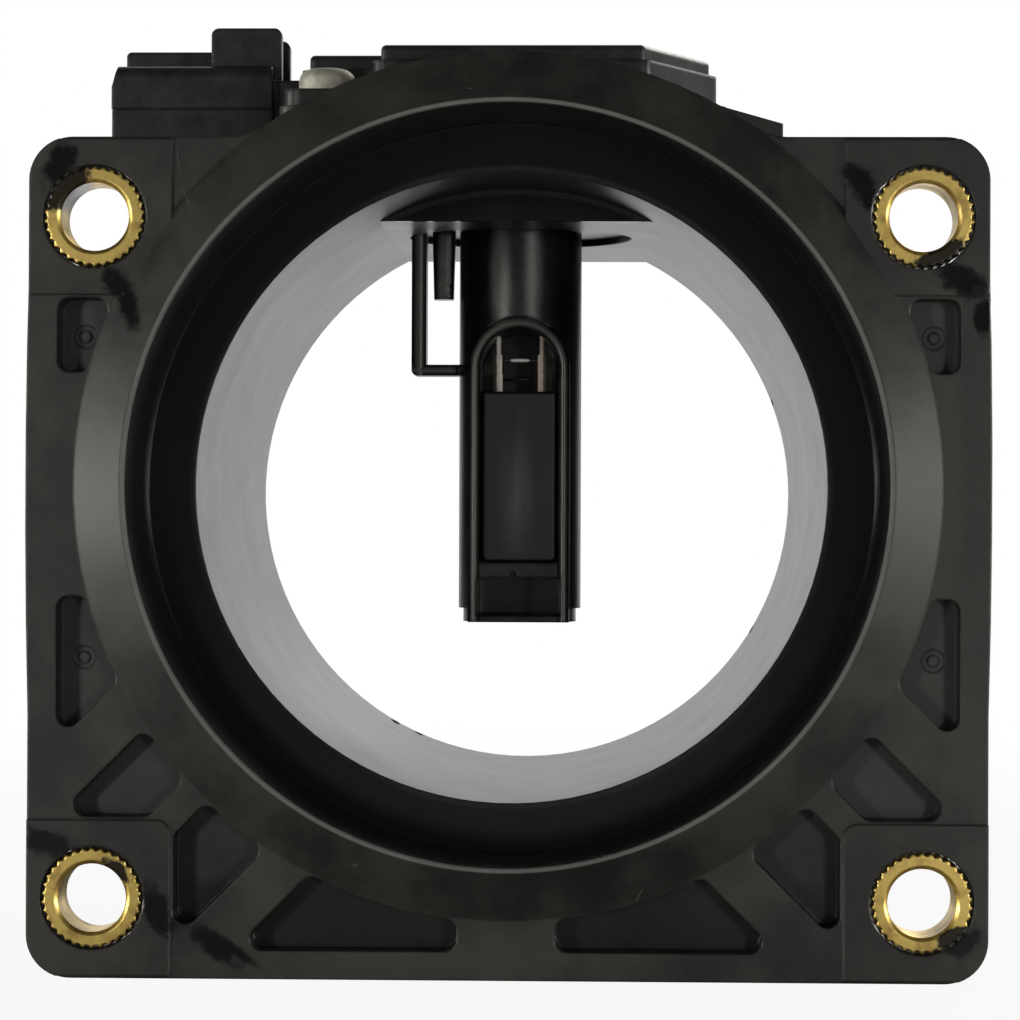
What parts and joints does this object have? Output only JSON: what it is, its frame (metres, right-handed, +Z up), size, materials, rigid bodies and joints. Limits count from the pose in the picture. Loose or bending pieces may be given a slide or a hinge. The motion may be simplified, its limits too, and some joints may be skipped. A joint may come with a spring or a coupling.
{
  "type": "mass airflow sensor",
  "caption": "Mass airflow sensor: round air duct with a square bolting flange and a stepped mouth, and a plug-in hot wire module with a side connector.",
  "frame": {"origin": "centre of the four bolt holes, on the face of the corner pads", "axes": "+Z up towards the electronics case, +Y along the air flow from the mouth to the outlet, +X to the right seen from the mouth, the connector points along -X"},
  "size_m": [0.0992, 0.0911, 0.1059],
  "materials": {
    "duct_plastic": "satin moulded",
    "module_plastic": "satin moulded",
    "panel_plastic": "satin moulded",
    "limiter_brass": "turned and knurled",
    "screw_steel": "zinc plated",
    "seal_rubber": "matte",
    "bead_resin": "satin",
    "post_metal": "bright",
    "element_coating": "glossy",
    "board_ceramic": "matte",
    "terminal_metal": "tin plated"
  },
  "bodies": {
    "root": {"duct_body": "duct_plastic", "bushing_upper_left": "limiter_brass", "bushing_upper_right": "limiter_brass", "bushing_lower_left": "limiter_brass", "bushing_lower_right": "limiter_brass", "sensor_housing": "module_plastic", "housing_cover": "module_plastic", "bypass_cover": "panel_plastic", "collar_seal": "seal_rubber", "screw_front": "screw_steel", "screw_rear": "screw_steel", "hot_wire": "element_coating", "cold_wire": "element_coating", "hot_post_left": "post_metal", "hot_post_right": "post_metal", "cold_post_left": "post_metal", "cold_post_right": "post_metal", "air_temperature_bead": "bead_resin", "circuit_board": "board_ceramic", "terminal_1": "terminal_metal", "terminal_2": "terminal_metal", "terminal_3": "terminal_metal", "terminal_4": "terminal_metal", "terminal_5": "terminal_metal"}
  },
  "joints": []
}
